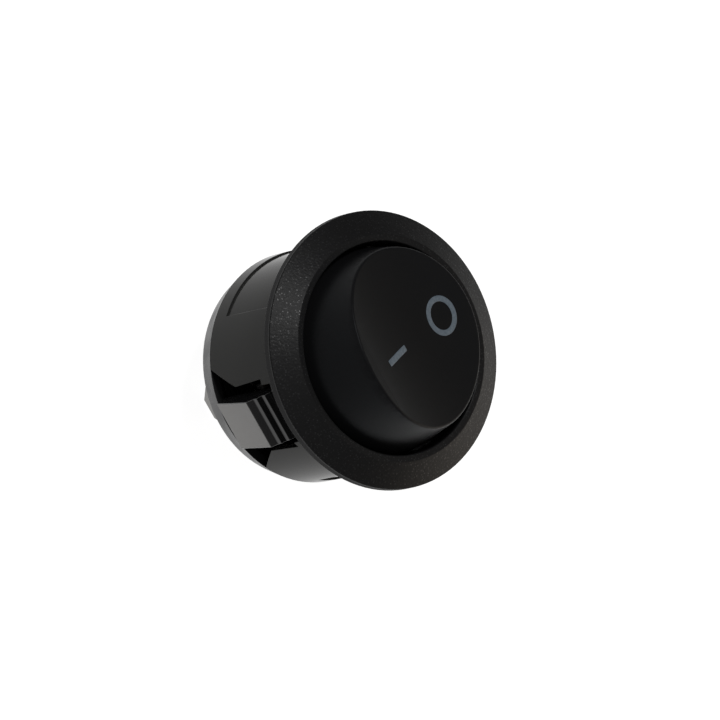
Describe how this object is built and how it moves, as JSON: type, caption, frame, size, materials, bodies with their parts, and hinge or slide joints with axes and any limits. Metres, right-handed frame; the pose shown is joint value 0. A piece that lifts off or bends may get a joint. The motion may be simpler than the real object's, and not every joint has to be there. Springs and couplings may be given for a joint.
{
  "type": "rocker switch",
  "caption": "Round snap-in rocker switch, black: conical bezel, hollow-faced tilting rocker marked O and I, ribbed snap lugs and rear blade terminals.",
  "frame": {"origin": "centre of the panel hole, on the face of the panel that the bezel seats on", "axes": "+Z out of the front along the switch's axis, X along the rocker's pivot pins, +Y towards the end of the rocker marked O"},
  "size_m": [0.0234, 0.0234, 0.0251],
  "materials": {
    "housing_plastic": "black nylon, glossy body and finely textured bezel",
    "rocker_plastic": "black nylon, satin",
    "base_plastic": "black nylon, glossy",
    "plunger_nylon": "natural nylon",
    "spring_steel": "drawn spring wire",
    "lever_copper": "stamped copper alloy",
    "contact_silver": "silver alloy rivet",
    "terminal_plating": "tin-plated brass sheet"
  },
  "bodies": {
    "case": {"housing": "housing_plastic", "base": "base_plastic", "common_terminal": "terminal_plating", "load_terminal": "terminal_plating", "fixed_contact": "contact_silver"},
    "rocker": {"rocker": "rocker_plastic", "plunger_spring": "spring_steel"},
    "plunger": {"plunger": "plunger_nylon"},
    "lever": {"contact_lever": "lever_copper", "moving_contact": "contact_silver"}
  },
  "joints": [
    {"name": "rocker_tilt", "type": "hinge", "parent": "case", "child": "rocker", "pos_m": [0, 0, -0.0013], "axis": [1, 0, 0], "range_deg": [0, 28]},
    {"name": "lever_rock", "type": "hinge", "parent": "case", "child": "lever", "pos_m": [0, 0, -0.0086], "axis": [1, 0, 0], "range_deg": [-18, 0]},
    {"name": "plunger_slide", "type": "slide", "parent": "rocker", "child": "plunger", "axis": [0, 0.2419, 0.9703], "range_m": [0, 0.0004], "stiffness_N_per_m": 20, "springref_m": -0.002, "deforming": ["plunger_spring"]}
  ],
  "couplings": [
    {"joint": "lever_rock", "follows": "rocker_tilt", "ratio": -0.64286}
  ]
}
